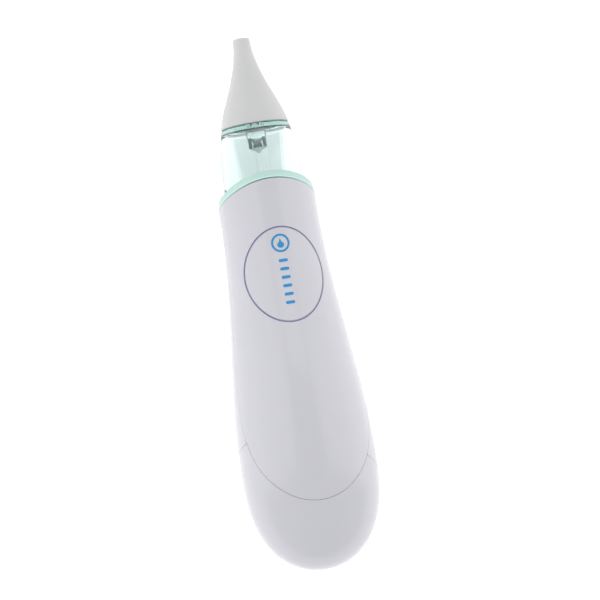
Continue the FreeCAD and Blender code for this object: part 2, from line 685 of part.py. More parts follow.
def chassis():
    """Plate over the pump that carries the board; its ribs clamp the pump and the motor."""
    plate = block(CHASSIS_WIDTH, CHASSIS_START, CHASSIS_END, CHASSIS_RISE, CHASSIS_TOP)
    plate = plate.common(handle_form(WALL + FIT_GAP))
    reach = BUTTON_HALF_LENGTH - 0.4
    for side in (-1, 1):
        plate = plate.cut(block(CHASSIS_WIDTH, BUTTON_STATION - reach, BUTTON_STATION + reach,
                                CHASSIS_RISE - 1, CHASSIS_TOP + 1,
                                side * (CHASSIS_WAIST + CHASSIS_WIDTH) / 2))
    extras = []
    for station in RIB_STATIONS:
        radius, top = PUMP_RADIUS, PUMP_RISE + PUMP_RADIUS
        if station > MOTOR_START:
            radius, top = MOTOR_RADIUS, PUMP_RISE + MOTOR_FLAT
        rib = block(CHASSIS_WAIST, station, station + RIB_THICKNESS, top - 1.5, CHASSIS_RISE)
        rib = rib.cut(motor_outline(station - 1, station + 3) if radius == MOTOR_RADIUS
                      else rod(radius, station - 1, station + 3, 0, PUMP_RISE))
        extras.append(rib)
    for side in (-1, 1):
        for station in (BOARD_START + 3, BOARD_END - 3):
            extras.append(peg(1.2, CHASSIS_TOP, BOARD_RISE, side * (BOARD_WIDTH / 2 - 1.5), station))
    plate = joined(plate, *extras)
    plate = plate.cut(block(19.4, BOARD_END + 1.5, CHASSIS_END + 1, CHASSIS_RISE - 1,
                            CHASSIS_TOP + 1))
    for x, station in CASE_SCREWS:
        for side in (-1, 1):
            plate = plate.cut(peg(CASE_SCREW_RADIUS + SCREW_HOLE_FIT, CHASSIS_RISE - 1,
                                  CHASSIS_TOP + 1, side * x, station))
    return plate


def case_screws():
    screws = []
    for x, station in CASE_SCREWS:
        for side in (-1, 1):
            shank = peg(CASE_SCREW_RADIUS, CHASSIS_TOP - CASE_SCREW_LENGTH + 0.5, CHASSIS_TOP,
                        side * x, station)
            head = peg(CASE_SCREW_HEAD, CHASSIS_TOP, CHASSIS_TOP + 1.4, side * x, station)
            cross = Part.makeBox(2.6, 0.5, 1, at(side * x - 1.3, station + 0.25, CHASSIS_TOP + 0.8))
            other = Part.makeBox(0.5, 2.6, 1, at(side * x - 0.25, station + 1.3, CHASSIS_TOP + 0.8))
            screws.append(joined(shank, head).cut(cross).cut(other))
    return Part.makeCompound(screws)


def control_board():
    return block(BOARD_WIDTH, BOARD_START, BOARD_END, BOARD_RISE, BOARD_TOP)


def board_parts():
    """Chip, capacitor and two resistors on the board's front, past the button."""
    chip = block(4.6, 107.0, 111.0, BOARD_TOP, BOARD_TOP + 1.1, -3.2)
    capacitor = peg(1.8, BOARD_TOP, BOARD_TOP + 2.4, 3.4, 109.0)
    resistors = [block(1.6, 111.8, 112.6, BOARD_TOP, BOARD_TOP + 0.5, x) for x in (-3.2, 3.4)]
    return Part.makeCompound([chip, capacitor] + resistors)


# ===================================== pump ==================================================

def around(count, radius, first):
    """Places (x, rise) evenly round the pump's axis, starting first degrees from the front."""
    places = []
    for k in range(count):
        angle = math.radians(first + 360 * k / count)
        places.append((radius * math.sin(angle), PUMP_RISE + radius * math.cos(angle)))
    return places


def cups():
    return around(CUP_COUNT, CUP_CIRCLE, 0)


def pump_screw_places():
    return around(CUP_COUNT, PUMP_SCREW_CIRCLE, 180 / CUP_COUNT)


def screw_holes(shape, fit):
    for x, rise in pump_screw_places():
        shape = shape.cut(rod(PUMP_SCREW_RADIUS + fit, PUMP_HEAD - 1, CRANKCASE_FLOOR + 3, x, rise))
    return shape


def pump_head():
    disc = rod(PUMP_RADIUS, PUMP_HEAD, VALVE_SHEET, 0, PUMP_RISE)
    inlet = rod(PORT_RADIUS, PUMP_HEAD - 4.0, PUMP_HEAD, 0, PORT_RISE)
    outlet = rod(PORT_RADIUS, PUMP_HEAD - 2.5, PUMP_HEAD, 0, PUMP_RISE + 3.4)
    head = joined(disc, inlet, outlet)
    head = head.cut(rod(PORT_BORE, PUMP_HEAD - 5, VALVE_SHEET + 1, 0, PORT_RISE))
    head = head.cut(rod(PORT_BORE, PUMP_HEAD - 5, VALVE_SHEET + 1, 0, PUMP_RISE + 3.4))
    return screw_holes(head, SCREW_HOLE_FIT)


def valve_sheet():
    sheet = rod(PUMP_RADIUS, VALVE_SHEET, VALVE_PLATE, 0, PUMP_RISE)
    for x, rise in around(CUP_COUNT, 4.4, 180 / CUP_COUNT):
        sheet = sheet.cut(ring(1.7, 1.3, VALVE_SHEET, VALVE_PLATE, x, rise)
                          .cut(block(5, VALVE_SHEET - 1, VALVE_PLATE + 1, rise - 3, rise - 0.9, x)))
    return screw_holes(sheet, SCREW_HOLE_FIT)


def valve_plate():
    plate = rod(PUMP_RADIUS, VALVE_PLATE, DIAPHRAGM, 0, PUMP_RISE)
    for x, rise in cups():
        plate = plate.cut(rod(PUMP_CUP_RADIUS - 0.8, DIAPHRAGM - 1.2, DIAPHRAGM + 1, x, rise))
        plate = plate.cut(rod(0.7, VALVE_PLATE - 1, DIAPHRAGM, x, rise))
    return screw_holes(plate, SCREW_HOLE_FIT)


def tilt_shift(rise):
    """How far the leaning yoke is displaced along the axis at this rise."""
    return (rise - PUMP_RISE) * math.tan(math.radians(WOBBLE_ANGLE))


def diaphragm():
    """Rubber sheet with hollow cups; each cup's stem is buttoned through a yoke arm."""
    sheet = rod(PUMP_RADIUS, DIAPHRAGM, CRANKCASE, 0, PUMP_RISE)
    for x, rise in cups():
        shift = tilt_shift(rise)
        end = PUMP_CUP_END + shift
        outer = rod(PUMP_CUP_RADIUS, CRANKCASE - 0.1, end, x, rise)
        stem_end = WOBBLE_STATION + YOKE_ARM / 2 + 0.35 + shift
        stem = rod(STEM_RADIUS, end - 0.1, stem_end, x, rise)
        knob = rod(STEM_KNOB, stem_end, stem_end + 0.9, x, rise)
        sheet = joined(sheet, outer, stem, knob)
        sheet = sheet.cut(rod(PUMP_CUP_RADIUS - PUMP_CUP_WALL, DIAPHRAGM - 1, end - PUMP_CUP_WALL,
                              x, rise))
    return screw_holes(sheet, SCREW_HOLE_FIT)


def crankcase():
    bottom = MOTOR_START
    case = rod(PUMP_RADIUS, CRANKCASE, bottom, 0, PUMP_RISE)
    inner = PUMP_RADIUS - CRANKCASE_WALL
    hollow = rod(inner, CRANKCASE - 1, CRANKCASE_FLOOR, 0, PUMP_RISE)
    for x, rise in pump_screw_places():
        hollow = hollow.cut(rod(PUMP_SCREW_RADIUS + 0.9, CRANKCASE - 2, bottom, x, rise))
    case = case.cut(hollow).cut(rod(BOSS_RADIUS, CRANKCASE_FLOOR - 1, bottom + 1, 0, PUMP_RISE))
    return screw_holes(case, 0)


def pump_screws():
    screws = []
    for x, rise in pump_screw_places():
        shank = rod(PUMP_SCREW_RADIUS, PUMP_HEAD, CRANKCASE + 6, x, rise)
        head = rod(PUMP_SCREW_RADIUS + 0.6, PUMP_HEAD - 0.9, PUMP_HEAD, x, rise)
        slot = block(0.4, PUMP_HEAD - 2, PUMP_HEAD - 0.4, rise - 2, rise + 2, x)
        screws.append(joined(shank, head).cut(slot))
    return Part.makeCompound(screws)


def leaning(shape):
    """Leans a shape made along the pump's axis to the crank pin's direction."""
    shape.rotate(at(0, WOBBLE_STATION, PUMP_RISE), V(1, 0, 0), WOBBLE_ANGLE)
    return shape


def crank_pin():
    return leaning(rod(CRANK_PIN_RADIUS, WOBBLE_STATION - 1.2, PIN_FOOT, 0, PUMP_RISE))


def wobble_yoke():
    """Three-armed yoke that nutates on the leaning crank pin."""
    hub = rod(YOKE_HUB, WOBBLE_STATION - 2.4, WOBBLE_STATION + 1.6, 0, PUMP_RISE)
    arms = []
    for k, (x, rise) in enumerate(cups()):
        arm = block(2.6, WOBBLE_STATION - YOKE_ARM / 2, WOBBLE_STATION + YOKE_ARM / 2,
                    PUMP_RISE, PUMP_RISE + CUP_CIRCLE)
        arm.rotate(at(0, WOBBLE_STATION, PUMP_RISE), AXIS, 360 * k / CUP_COUNT)
        arms.append(arm)
        arms.append(rod(YOKE_HOLE + 0.6, WOBBLE_STATION - YOKE_ARM / 2,
                        WOBBLE_STATION + YOKE_ARM / 2, x, rise))
    yoke = joined(hub, *arms)
    for x, rise in cups():
        yoke = yoke.cut(rod(YOKE_HOLE, WOBBLE_STATION - 3, WOBBLE_STATION + 3, x, rise))
    yoke = yoke.cut(rod(CRANK_PIN_RADIUS + PIN_FIT, WOBBLE_STATION - 1.5, WOBBLE_STATION + 3,
                        0, PUMP_RISE))
    return leaning(yoke)


def crank():
    disc = rod(CRANK_RADIUS, CRANK_START, CRANK_END, 0, PUMP_RISE)
    disc = disc.cut(crank_pin())
    return disc.cut(rod(SHAFT_RADIUS, SHAFT_START, CRANK_END + 1, 0, PUMP_RISE))


# ===================================== motor =================================================

def motor_outline(start, end, shrink=0.0):
    """A round bar with two flats, the outer form of the motor."""
    bar = rod(MOTOR_RADIUS - shrink, start, end, 0, PUMP_RISE)
    half = MOTOR_FLAT - shrink
    return bar.common(block(60, start - 1, end + 1, PUMP_RISE - half, PUMP_RISE + half))


def motor_can():
    can = motor_outline(MOTOR_START, MOTOR_END)
    can = can.cut(motor_outline(MOTOR_START + CAN_WALL, MOTOR_END + 1, CAN_WALL))
    boss = rod(BOSS_RADIUS, MOTOR_START - BOSS_LENGTH, MOTOR_START + 1.4, 0, PUMP_RISE)
    return joined(can, boss).cut(rod(BEARING_RADIUS, MOTOR_START - 2, MOTOR_START + 3,
                                     0, PUMP_RISE))


def motor_bearings():
    front = ring(BEARING_RADIUS, SHAFT_RADIUS + SHAFT_FIT, MOTOR_START - BOSS_LENGTH,
                 MOTOR_START + 1.4, 0, PUMP_RISE)
    rear = ring(BEARING_RADIUS, SHAFT_RADIUS + SHAFT_FIT, END_CAP_START - 0.8, MOTOR_END - 0.6,
                0, PUMP_RISE)
    return Part.makeCompound([front, rear])


def motor_magnets():
    """Two curved magnets against the round sides of the can."""
    outer = MOTOR_RADIUS - CAN_WALL
    shell = ring(outer, ARMATURE_RADIUS + AIR_GAP, ARMATURE_START - 1, ARMATURE_END + 1,
                 0, PUMP_RISE)
    sides = shell.common(block(60, 0, LENGTH, PUMP_RISE - 4.4, PUMP_RISE + 4.4))
    left = sides.common(block(30, 0, LENGTH, -40, 40, -15))
    right = sides.common(block(30, 0, LENGTH, -40, 40, 15))
    return Part.makeCompound([left, right])


def motor_end_cap():
    cap = motor_outline(END_CAP_START, MOTOR_END, CAN_WALL)
    cap = cap.cut(rod(BEARING_RADIUS, END_CAP_START - 1, MOTOR_END - 0.6, 0, PUMP_RISE))
    for side in (-1, 1):
        cap = cap.cut(block(2.0, END_CAP_START - 1, MOTOR_END + 1, PUMP_RISE - 0.25,
                            PUMP_RISE + 0.25, side * TERMINAL_OFFSET))
    return cap


def motor_terminals():
    """Two brass blades through the end cap; inside, each bends to a commutator brush."""
    blades = []
    for side in (-1, 1):
        blade = block(2.0, END_CAP_START - 1.9, TERMINAL_END, PUMP_RISE - 0.25, PUMP_RISE + 0.25,
                      side * TERMINAL_OFFSET)
        reach = TERMINAL_OFFSET - COMMUTATOR_RADIUS - 0.1
        brush = block(reach, END_CAP_START - 2.9, END_CAP_START - 1.9, PUMP_RISE - 0.5,
                      PUMP_RISE + 0.5, side * (TERMINAL_OFFSET - reach / 2))
        blades.append(joined(blade, brush))
    return Part.makeCompound(blades)


def motor_shaft():
    return rod(SHAFT_RADIUS, SHAFT_START, SHAFT_END, 0, PUMP_RISE)


def armature_core():
    """Three-pole laminated core."""
    core = rod(2.6, ARMATURE_START, ARMATURE_END, 0, PUMP_RISE)
    rim = ring(ARMATURE_RADIUS, ARMATURE_RADIUS - 1.4, ARMATURE_START, ARMATURE_END, 0, PUMP_RISE)
    for k in range(3):
        arm = block(2.0, ARMATURE_START, ARMATURE_END, PUMP_RISE, PUMP_RISE + ARMATURE_RADIUS - 1)
        gap = block(1.6, ARMATURE_START - 1, ARMATURE_END + 1, PUMP_RISE + 3, PUMP_RISE + 9)
        turn = 120 * k
        arm.rotate(at(0, 0, PUMP_RISE), AXIS, turn)
        gap.rotate(at(0, 0, PUMP_RISE), AXIS, turn + 60)
        core = core.fuse(arm)
        rim = rim.cut(gap)
    core = core.fuse(rim).removeSplitter()
    return core.cut(rod(SHAFT_RADIUS, ARMATURE_START - 1, ARMATURE_END + 1, 0, PUMP_RISE))


def armature_windings():
    """A copper coil round each pole's arm."""
    coils = []
    for k in range(3):
        pack = block(4.4, ARMATURE_START - 0.9, ARMATURE_END + 0.9, PUMP_RISE + 2.9,
                     PUMP_RISE + 4.5)
        pack = pack.cut(block(2.0, ARMATURE_START, ARMATURE_END, PUMP_RISE, PUMP_RISE + 9))
        pack.rotate(at(0, 0, PUMP_RISE), AXIS, 120 * k)
        coils.append(pack)
    return Part.makeCompound(coils)


def commutator():
    return ring(COMMUTATOR_RADIUS, SHAFT_RADIUS, COMMUTATOR_START, COMMUTATOR_END, 0, PUMP_RISE)


# ===================================== batteries =============================================

def tray_block():
    outer = CELL_RADIUS + CELL_FIT + TRAY_WALL
    tubes = [rod(outer, TRAY_START, TRAY_END, side * CELL_OFFSET, CELL_RISE) for side in (-1, 1)]
    web = block(2 * CELL_OFFSET, TRAY_START, TRAY_END, CELL_RISE - outer, CELL_RISE + outer)
    return joined(web, *tubes)


def battery_tray():
    tray = tray_block()
    for side in (-1, 1):
        tray = tray.cut(rod(CELL_RADIUS + CELL_FIT, TRAY_FACE, TRAY_END + 1, side * CELL_OFFSET,
                            CELL_RISE))
        tray = tray.cut(block(2.0, TRAY_START - 1, TRAY_FACE + 1, CELL_RISE - CONTACT / 2,
                              CELL_RISE + CONTACT / 2, side * CELL_OFFSET))
    return tray


def battery_cell(side):
    """side is -1 for the cell with its nub towards the tip, 1 for the other."""
    x = side * CELL_OFFSET
    start = TRAY_FACE + CONTACT
    if side < 0:
        nub = rod(CELL_NUB_RADIUS, start, start + CELL_NUB, x, CELL_RISE)
        body_start = start + CELL_NUB
    else:
        body_start = start + CONTACT_SPRING
        nub = rod(CELL_NUB_RADIUS, body_start + CELL_BODY, BRIDGE, x, CELL_RISE)
    body = rod(CELL_RADIUS, body_start, body_start + CELL_BODY, x, CELL_RISE)
    body = body.makeFillet(0.4, [e for e in body.Edges if e.Closed and e.Length > 1])
    return joined(body, nub)


def contact_plate(side):
    """Plate on the tray's floor with a tab through it for the lead."""
    x = side * CELL_OFFSET
    plate = rod(CONTACT_HALF, TRAY_FACE, TRAY_FACE + CONTACT, x, CELL_RISE)
    tab = block(2.0, TRAY_START - 1.2, TRAY_FACE + CONTACT / 2, CELL_RISE - CONTACT / 2,
                CELL_RISE + CONTACT / 2, x)
    return joined(plate, tab)


def tray_contacts():
    return Part.makeCompound([contact_plate(side) for side in (-1, 1)])


def contact_coil(side, face, direction, spin):
    """Conical spring whose narrow end presses on the flat end of a cell, at station face."""
    return coil(CONTACT_COIL[0], CONTACT_COIL[1], CONTACT_WIRE, CONTACT_TURNS,
                CONTACT_SPRING - CONTACT_WIRE,
                at(side * CELL_OFFSET, face, CELL_RISE) + direction * (CONTACT_WIRE / 2), direction,
                spin)


def tray_spring():
    return contact_coil(1, TRAY_FACE + CONTACT + CONTACT_SPRING, AXIS, 0)


def cap_spring():
    return contact_coil(-1, BRIDGE - CONTACT_SPRING, V(0, -1, 0), 270)


def bridge_contact():
    return block(2 * CONTACT_HALF + 2 * CELL_OFFSET, BRIDGE, BRIDGE + CONTACT,
                 CELL_RISE - CONTACT_HALF, CELL_RISE + CONTACT_HALF)


# ===================================== leads =================================================

def motor_leads():
    leads = []
    for side in (-1, 1):
        pad = BOARD_TOP + LEAD_RADIUS
        leads.append(lead([at(side * 1.6, BOARD_END - 2.4, pad), at(side * 2.2, 119.6, pad + 0.4),
                           at(side * 4.4, 123.0, 6.0),
                           at(side * TERMINAL_OFFSET, 122.3, PUMP_RISE + 0.25)], LEAD_RADIUS))
    return Part.makeCompound(leads)


def battery_leads():
    leads = []
    for side in (-1, 1):
        pad = BOARD_TOP + LEAD_RADIUS
        leads.append(lead([at(side * 5.2, BOARD_END - 2.4, pad), at(side * 5.8, 120.4, pad + 0.6),
                           at(side * CELL_OFFSET, 124.6, 7.0),
                           at(side * CELL_OFFSET, 125.0, CELL_RISE + CONTACT / 2)], LEAD_RADIUS))
    return Part.makeCompound(leads)


def build():
    """Every node of the aspirator, by name."""
    wall = handle_wall()
    inside = handle_form(WALL - 0.2)
    return {
        "nose_tip": nose_tip(),
        "chamber_dome": chamber_dome(),
        "drip_valve": drip_valve(),
        "collection_cup": collection_cup(),
        "top_deck": top_deck(),
        "chamber_seal": chamber_seal(),
        "collar_ring": collar_ring(),
        "front_shell": front_shell(wall, inside),
        "rear_shell": rear_shell(wall, inside),
        "battery_cap": battery_cap(wall),
        "power_button": power_button(),
        "button_seal": button_seal(),
        "button_print": button_print(),
        "button_springs": button_springs(),
        "switch_body": switch_body(),
        "switch_plunger": switch_plunger(),
        "chassis": chassis(),
        "case_screws": case_screws(),
        "control_board": control_board(),
        "board_parts": board_parts(),
        "suction_tube": suction_tube(),
        "pump_head": pump_head(),
        "valve_sheet": valve_sheet(),
        "valve_plate": valve_plate(),
        "diaphragm": diaphragm(),
        "crankcase": crankcase(),
        "pump_screws": pump_screws(),
        "wobble_yoke": wobble_yoke(),
        "crank_pin": crank_pin(),
        "crank": crank(),
        "motor_can": motor_can(),
        "motor_bearings": motor_bearings(),
        "motor_magnets": motor_magnets(),
        "motor_end_cap": motor_end_cap(),
        "motor_terminals": motor_terminals(),
        "motor_shaft": motor_shaft(),
        "armature_core": armature_core(),
        "armature_windings": armature_windings(),
        "commutator": commutator(),
        "battery_tray": battery_tray(),
        "battery_cell_left": battery_cell(-1),
        "battery_cell_right": battery_cell(1),
        "tray_contacts": tray_contacts(),
        "tray_spring": tray_spring(),
        "bridge_contact": bridge_contact(),
        "cap_spring": cap_spring(),
        "motor_leads": motor_leads(),
        "battery_leads": battery_leads(),
    }


os.makedirs("parts", exist_ok=True)
for name, shape in build().items():
    shape.exportStep("parts/" + name + ".step")
    print(name, len(shape.Solids), round(shape.Volume, 2), shape.isValid())
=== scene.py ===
"""Looks of the battery nasal aspirator: shells, soft tip, clear chamber, button and finishes.

The handle's surface is one formula of an angle round the long axis and a station, the distance
from the tip's opening.  Lengths are in millimetres until a mesh is made.
"""

import bpy
import bmesh
import json
import math
import numpy as np
from mathutils import Matrix, Vector


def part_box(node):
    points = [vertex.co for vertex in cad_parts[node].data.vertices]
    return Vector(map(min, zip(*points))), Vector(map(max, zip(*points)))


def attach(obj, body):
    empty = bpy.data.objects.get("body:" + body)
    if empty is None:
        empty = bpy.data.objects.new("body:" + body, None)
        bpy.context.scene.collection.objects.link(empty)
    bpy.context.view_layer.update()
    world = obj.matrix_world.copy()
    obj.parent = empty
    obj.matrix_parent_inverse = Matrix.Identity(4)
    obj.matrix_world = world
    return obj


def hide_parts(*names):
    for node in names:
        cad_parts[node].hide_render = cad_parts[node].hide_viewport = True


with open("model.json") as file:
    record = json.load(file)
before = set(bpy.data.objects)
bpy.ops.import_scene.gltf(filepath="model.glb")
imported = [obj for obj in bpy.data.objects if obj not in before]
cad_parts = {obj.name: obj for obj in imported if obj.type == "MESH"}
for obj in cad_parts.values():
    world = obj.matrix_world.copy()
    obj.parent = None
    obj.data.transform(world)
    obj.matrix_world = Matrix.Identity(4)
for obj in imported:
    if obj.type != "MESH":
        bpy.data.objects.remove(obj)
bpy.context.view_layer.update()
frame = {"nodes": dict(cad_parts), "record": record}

MM = 0.001

# --- places read from the frame --------------------------------------------------------------
tip_low, tip_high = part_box("nose_tip")
cap_low, cap_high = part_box("battery_cap")
LENGTH = (tip_high[1] - cap_low[1]) / MM
TIP_Y = tip_high[1] / MM
AXIS_HEIGHT = (tip_low[2] + tip_high[2]) / 2 / MM
TIP_LENGTH = (tip_high[1] - tip_low[1]) / MM

# --- the handle's form, as in the CAD --------------------------------------------------------
NECK_HALF_WIDTH = 17.6
BELLY_HALF_WIDTH = 24.4
BELLY_RISE = 23.4
BACK_DROP = 20.7
COLLAR_FLARE = 0.3
FLARE_LENGTH = 15.0
SWELL = (65.0, 155.0)
FRONT_SWELL = (70.0, 135.0)
BACK_SWELL = (65.0, 115.0)
TAIL_START, TAIL_POWER = 150.0, 3.0
FRONT_TAIL_START, FRONT_TAIL_POWER = 135.0, 2.4
SADDLE_RADIUS, SADDLE_STATION, SADDLE_RISE = 65.0, -2.7, -15.5
TONGUE_EDGE = [(40.0, 1.2), (118.0, 5.4), (137.0, 7.7), (146.0, 10.6), (154.0, 14.1),
               (161.0, 17.6), (167.3, 20.4), (178.0, 24.8)]
CAP_SEAM, CAP_SEAM_SKEW, CAP_SEAM_RAKE = 154.7, 0.305, -0.45
COLLAR_THICKNESS = 2.9
WALL = 2.0
SEAM_GAP = 0.10
EDGE_ROLL = 0.09          # rounding of the shells' seam edges
DOME_RADIUS = 14.4
SOCKET_GAP = 0.2

# --- the button ------------------------------------------------------------------------------
BUTTON_STATION = 87.3
BUTTON_HALF = (14.1, 17.1)
BUTTON_GAP = 0.5
SEAL_GAP = 0.12
PRINT_RING = 3.25
PRINT_STATION = 76.2
PRINT_BARS, PRINT_BAR_PITCH, PRINT_BAR = 6, 3.0, (3.2, 1.1)
PRINT_STROKE = 0.7
DROP_RADIUS = 1.25

UNROLL = 20.0             # one radian round the handle counts as this many millimetres


# ===================================== the handle's surface ==================================

def smooth(x):
    x = np.clip(x, 0, 1)
    return x * x * (3 - 2 * x)


def tail(station, start, inset, power):
    x = np.clip((station - start) / (LENGTH - inset - start), 0, 1)
    return np.sqrt(1 - x ** power)


def spread(station, inset, reach, span, tail_start, power):
    """Distance from the long axis to the surface, sideways, forwards or backwards."""
    flare = COLLAR_FLARE * np.clip((SWELL[0] - station) / FLARE_LENGTH, 0, None) ** 2
    swell = smooth((station - span[0]) / (span[1] - span[0]))
    size = NECK_HALF_WIDTH + (reach - NECK_HALF_WIDTH) * swell + flare
    return (size - inset) * tail(station, tail_start, inset, power)


def half_width(station, inset=0.0):
    return spread(station, inset, BELLY_HALF_WIDTH, SWELL, TAIL_START, TAIL_POWER)


def surface(angle, station, inset=0.0):
    """Offset to the right, station and rise of a point of the handle's surface."""
    inset = np.asarray(inset, float)
    shrink = (LENGTH - inset - TAIL_START) / (LENGTH - TAIL_START)
    station = np.where(station > TAIL_START, TAIL_START + (station - TAIL_START) * shrink, station)
    front = spread(station, inset, BELLY_RISE, FRONT_SWELL, FRONT_TAIL_START, FRONT_TAIL_POWER)
    back = spread(station, inset, BACK_DROP, BACK_SWELL, TAIL_START, TAIL_POWER)
    forward = np.cos(angle)
    depth = np.where(forward > 0, front, back)
    rise = np.maximum(depth * forward, inset - AXIS_HEIGHT)
    return half_width(station, inset) * np.sin(angle), station, rise


def place(x, station, rise):
    """Row coordinates in metres from offset, station and rise."""
    return np.stack([x, TIP_Y - station, AXIS_HEIGHT + rise], axis=-1) * MM


def tongue_rise(station):
    """Rise of the seam between the front and rear shells: a smooth curve through its points."""
    xs = np.array([p[0] for p in TONGUE_EDGE])
    ys = np.array([p[1] for p in TONGUE_EDGE])
    slope = np.gradient(ys, xs)
    k = np.clip(np.searchsorted(xs, station) - 1, 0, len(xs) - 2)
    step = xs[k + 1] - xs[k]
    t = np.clip((station - xs[k]) / step, 0, 1)
    return ((1 + 2 * t) * (1 - t) ** 2 * ys[k] + t * (1 - t) ** 2 * step * slope[k]
            + t * t * (3 - 2 * t) * ys[k + 1] + t * t * (t - 1) * step * slope[k + 1])


def past_saddle(station, rise):
    """Distance beyond the saddle cut, towards the bottom."""
    return np.hypot(station - SADDLE_STATION, rise - SADDLE_RISE) - SADDLE_RADIUS


def past_cap_seam(x, station, rise):
    return station - (CAP_SEAM + CAP_SEAM_SKEW * x + CAP_SEAM_RAKE * rise)


def in_front_shell(angle, station):
    _, _, rise = surface(angle, station)
    return ((rise > tongue_rise(station) + SEAM_GAP / 2) & (past_saddle(station, rise) > 0)
            & (np.cos(angle) > 0))


def in_rear_shell(angle, station):
    x, _, rise = surface(angle, station)
    return ((rise < tongue_rise(station) - SEAM_GAP / 2) & (past_saddle(station, rise) > 0)
            & (past_cap_seam(x, station, rise) < -SEAM_GAP / 2))


def in_battery_cap(angle, station):
    x, _, rise = surface(angle, station)
    under_tongue = (rise < tongue_rise(station) - SEAM_GAP / 2) | (station > 170)
    return under_tongue & (past_cap_seam(x, station, rise) > SEAM_GAP / 2)


# ===================================== mesh helpers ==========================================

def add_mesh(name, rows, body, material, *nodes, close_rows=False, slot=None):
    """Makes a piece from rows of points; each row is a closed loop of the same length."""
    rows = np.asarray(rows)
    count, around = rows.shape[:2]
    faces = []
    last = count if close_rows else count - 1
    for i in range(last):
        j = (i + 1) % count
        for k in range(around):
            m = (k + 1) % around
            faces.append((i * around + k, i * around + m, j * around + m, j * around + k))
    mesh = bpy.data.meshes.new(name)
    mesh.from_pydata(rows.reshape(-1, 3).tolist(), [], faces)
    return finish_piece(name, mesh, body, material, nodes)


def finish_piece(name, mesh, body, material, nodes):
    made = bmesh.new()
    made.from_mesh(mesh)
    bmesh.ops.remove_doubles(made, verts=made.verts, dist=2e-7)
    bmesh.ops.recalc_face_normals(made, faces=made.faces)
    made.to_mesh(mesh)
    made.free()
    mesh.shade_smooth()
    piece = bpy.data.objects.new(name, mesh)
    bpy.context.scene.collection.objects.link(piece)
    mesh.materials.append(material)
    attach(piece, body)
    if nodes:
        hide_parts(*nodes)
    return piece


def march(start, direction, inside, reach=150.0, step=0.4):
    """Walks from start until inside fails, then closes in on the border by halving."""
    travelled = np.zeros(len(start))
    walking = np.ones(len(start), bool)
    for _ in range(int(reach / step)):
        ahead = start + direction * (travelled + step)[:, None]
        walking &= inside(ahead[:, 0] / UNROLL, ahead[:, 1])
        travelled = np.where(walking, travelled + step, travelled)
        if not walking.any():
            break
    low, high = travelled, travelled + step
    for _ in range(16):
        middle = (low + high) / 2
        here = start + direction * middle[:, None]
        good = inside(here[:, 0] / UNROLL, here[:, 1])
        low = np.where(good, middle, low)
        high = np.where(good, high, middle)
    return start + direction * low[:, None]


def edge_profile(thickness, roll):
    """Distance from the border and depth, from the flat down round the edge to the inner wall."""
    turns = np.radians(np.linspace(0, 90, 6))
    rounded = [(roll * (1 - math.sin(a)), roll * (1 - math.cos(a))) for a in turns]
    return rounded + [(0.0, thickness * 0.5), (0.0, thickness)]


def shell_rows(inner, outer, thickness, roll, rings, holed):
    """Rows of a curved panel between two borders, with rounded edges and an inner side."""
    span = outer - inner
    length = np.linalg.norm(span, axis=1)
    heading = span / np.maximum(length, 1e-9)[:, None]
    start = roll if holed else 0.0
    rows = []

    def row(distance, depth):
        flat = inner + heading * distance[:, None]
        rows.append(place(*surface(flat[:, 0] / UNROLL, flat[:, 1], depth)))

    if holed:
        for away, depth in reversed(edge_profile(thickness, roll)):
            row(np.full(len(length), away), depth)
    for t in np.linspace(0, 1, rings):
        row(start + (length - start - roll) * t, 0.0)
    for away, depth in edge_profile(thickness, roll):
        row(length - away, depth)
    for t in np.linspace(1, 0, rings // 2):
        row(length * t, thickness)
    return rows


def rays(count):
    turn = np.linspace(0, 2 * math.pi, count, endpoint=False)
    return np.stack([np.cos(turn), np.sin(turn)], axis=1)


def oval_border(grow, count):
    """The oval round the button, unrolled onto the handle's surface."""
    turn = rays(count)
    station = BUTTON_STATION + (BUTTON_HALF[1] + grow) * turn[:, 1]
    x = (BUTTON_HALF[0] + grow) * turn[:, 0]
    angle = np.arcsin(x / half_width(station))
    return np.stack([angle * UNROLL, station], axis=1)


# ===================================== materials =============================================

def new_material(name):
    material = bpy.data.materials.new(name)
    material.use_nodes = True
    nodes = material.node_tree.nodes
    return material, nodes, material.node_tree.links, nodes["Principled BSDF"]


def grain(nodes, links, shader, scale, strength, distance):
    """Fine surface texture as a bump."""
    place_node = nodes.new("ShaderNodeTexCoord")
    noise = nodes.new("ShaderNodeTexNoise")
    noise.inputs["Scale"].default_value = scale
    noise.inputs["Detail"].default_value = 6.0
    bump = nodes.new("ShaderNodeBump")
    bump.inputs["Strength"].default_value = strength
    bump.inputs["Distance"].default_value = distance
    links.new(place_node.outputs["Object"], noise.inputs["Vector"])
    links.new(noise.outputs["Fac"], bump.inputs["Height"])
    links.new(bump.outputs["Normal"], shader.inputs["Normal"])
    return noise


def mottled(nodes, links, shader, first, second, scale):
    """A slow change between two near colours over the surface."""
    place_node = nodes.new("ShaderNodeTexCoord")
    noise = nodes.new("ShaderNodeTexNoise")
    noise.inputs["Scale"].default_value = scale
    noise.inputs["Detail"].default_value = 3.0
    ramp = nodes.new("ShaderNodeValToRGB")
    ramp.color_ramp.elements[0].position = 0.35
    ramp.color_ramp.elements[1].position = 0.65
    ramp.color_ramp.elements[0].color = (*first, 1)
    ramp.color_ramp.elements[1].color = (*second, 1)
    links.new(place_node.outputs["Object"], noise.inputs["Vector"])
    links.new(noise.outputs["Fac"], ramp.inputs["Fac"])
    links.new(ramp.outputs["Color"], shader.inputs["Base Color"])


